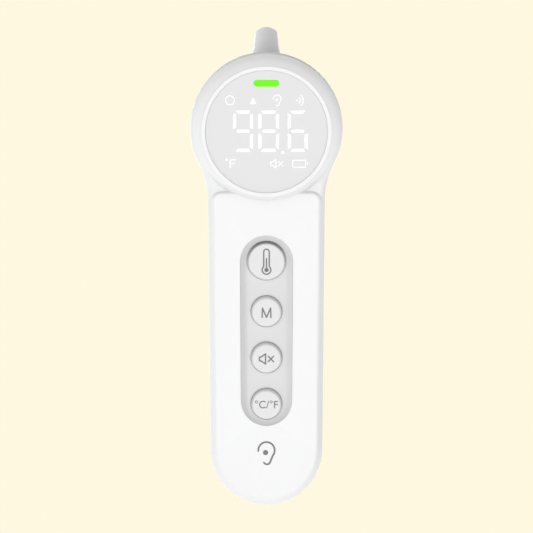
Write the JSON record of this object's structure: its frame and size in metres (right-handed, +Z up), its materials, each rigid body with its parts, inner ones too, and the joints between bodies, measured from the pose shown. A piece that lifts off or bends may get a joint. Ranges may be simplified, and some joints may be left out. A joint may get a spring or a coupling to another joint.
{
  "type": "digital ear thermometer",
  "caption": "Hand-held infrared ear thermometer with a round display head on a tapered handle, a recessed panel of push keys and a tilted cone probe.",
  "frame": {"origin": "on the ground plane under the centre of the bounding box, at the lowest point of the handle's round end", "axes": "+Z up along the handle towards the head, -Y out of the display and keys, +Y out of the battery door, +X to the right as the display is read"},
  "size_m": [0.049, 0.0416, 0.1536],
  "materials": {
    "shell_white": "moulded white, satin gloss",
    "door_white": "moulded white, satin gloss",
    "lens_grey": "smooth tinted window",
    "adhesive_grey": "foam tape",
    "diffuser_white": "matt film",
    "light_green": "lit light pipe",
    "guide_white": "matt moulding",
    "led_white": "glossy",
    "board_green": "solder mask",
    "screw_steel": "zinc plated",
    "panel_grey": "fine matt grain",
    "button_grey": "fine matt grain",
    "plunger_ivory": "matt",
    "switch_black": "matt",
    "chip_black": "matt",
    "shield_steel": "tinned",
    "cell_sleeve": "printed sleeve",
    "contact_nickel": "nickel plated",
    "wire_red": "insulation",
    "wire_black": "insulation",
    "wire_grey": "insulation",
    "flex_amber": "polyimide film",
    "probe_grey": "fine satin",
    "window_dark": "infrared window",
    "guide_gold": "polished",
    "sensor_steel": "drawn can",
    "sleeve_brass": "turned",
    "nut_grey": "matt",
    "seal_rubber": "silicone"
  },
  "bodies": {
    "casing": {"front_shell": "shell_white", "rear_shell": "shell_white", "display_lens": "lens_grey", "lens_adhesive_ring": "adhesive_grey", "display_diffuser": "diffuser_white", "indicator_light_pipe": "light_green", "segment_light_guide": "guide_white", "display_leds": "led_white", "indicator_led": "led_white", "display_board": "board_green", "display_board_screws": "screw_steel", "main_board_screws": "screw_steel", "case_screws": "screw_steel", "key_panel": "panel_grey", "switch_bodies": "switch_black", "main_board": "board_green", "controller_chip": "chip_black", "wireless_module": "shield_steel", "buzzer": "chip_black", "battery_cell_left": "cell_sleeve", "battery_cell_right": "cell_sleeve", "spring_contact_left": "contact_nickel", "spring_contact_right": "contact_nickel", "bridge_contact": "contact_nickel", "positive_contact": "contact_nickel", "negative_contact": "contact_nickel", "battery_lead_red": "wire_red", "battery_lead_black": "wire_black", "board_link_cable": "flex_amber", "probe_cone": "probe_grey", "probe_window": "window_dark", "wave_guide": "guide_gold", "thermopile_sensor": "sensor_steel", "sensor_sleeve": "sleeve_brass", "sensor_board": "board_green", "probe_nut": "nut_grey", "probe_seal_ring": "seal_rubber", "sensor_cable": "wire_grey"},
    "measure_key": {"measure_button": "button_grey", "measure_plunger": "plunger_ivory"},
    "memory_key": {"memory_button": "button_grey", "memory_plunger": "plunger_ivory"},
    "mute_key": {"mute_button": "button_grey", "mute_plunger": "plunger_ivory"},
    "unit_key": {"unit_button": "button_grey", "unit_plunger": "plunger_ivory"},
    "door": {"battery_door": "door_white"}
  },
  "joints": [
    {"name": "measure_press", "type": "slide", "parent": "casing", "child": "measure_key", "axis": [0, 1, 0], "range_m": [0, 0.0005], "stiffness_N_per_m": 2500, "springref_m": -0.0002},
    {"name": "memory_press", "type": "slide", "parent": "casing", "child": "memory_key", "axis": [0, 1, 0], "range_m": [0, 0.0005], "stiffness_N_per_m": 2500, "springref_m": -0.0002},
    {"name": "mute_press", "type": "slide", "parent": "casing", "child": "mute_key", "axis": [0, 1, 0], "range_m": [0, 0.0005], "stiffness_N_per_m": 2500, "springref_m": -0.0002},
    {"name": "unit_press", "type": "slide", "parent": "casing", "child": "unit_key", "axis": [0, 1, 0], "range_m": [0, 0.0005], "stiffness_N_per_m": 2500, "springref_m": -0.0002},
    {"name": "door_tilt", "type": "hinge", "parent": "casing", "child": "door", "pos_m": [0, 0.00307, 0.0141], "axis": [-1, 0, 0], "range_deg": [0, 50]}
  ]
}
